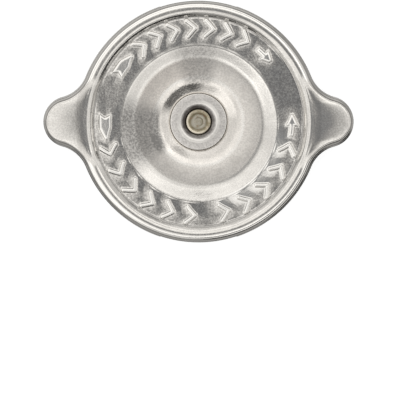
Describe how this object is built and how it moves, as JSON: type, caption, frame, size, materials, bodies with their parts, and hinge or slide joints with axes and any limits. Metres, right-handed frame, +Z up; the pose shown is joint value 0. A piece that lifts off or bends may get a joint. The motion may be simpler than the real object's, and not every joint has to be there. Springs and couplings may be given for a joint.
{
  "type": "radiator cap",
  "caption": "Plain radiator filler cap: a pressed steel shell with side ears and bayonet claws, and a sprung plate with a rubber gasket that turns on a central rivet.",
  "frame": {"origin": "on the cap's axis, in the plane of the claws' undersides, which it rests on", "axes": "+Z up along the cap's axis to its top; X through the two ears; Y through the two claws"},
  "size_m": [0.082, 0.0638, 0.0122],
  "materials": {
    "shell": "bright pressed tinplate with fine die marks",
    "centre_washer": "satin zinc plating",
    "rivet": "dull, formed end with turning rings",
    "thrust_washer": "satin",
    "leaf_spring": "rolled spring strip",
    "seal_plate": "satin plated",
    "gasket": "moulded black rubber",
    "gasket_retainer": "satin plated"
  },
  "bodies": {
    "cover": {"shell": "shell", "centre_washer": "centre_washer", "rivet": "rivet", "thrust_washer": "thrust_washer"},
    "spring": {"leaf_spring": "leaf_spring"},
    "seal": {"seal_plate": "seal_plate", "gasket": "gasket", "gasket_retainer": "gasket_retainer"}
  },
  "joints": [
    {"name": "seal_turn", "type": "hinge", "parent": "cover", "child": "spring", "pos_m": [0, 0, 0.0083], "axis": [0, 0, 1], "continuous": true},
    {"name": "seal_lift", "type": "slide", "parent": "spring", "child": "seal", "axis": [0, 0, 1], "range_m": [0, 0.0008], "stiffness_N_per_m": 5000, "springref_m": -0.002, "deforming": ["leaf_spring"]}
  ]
}
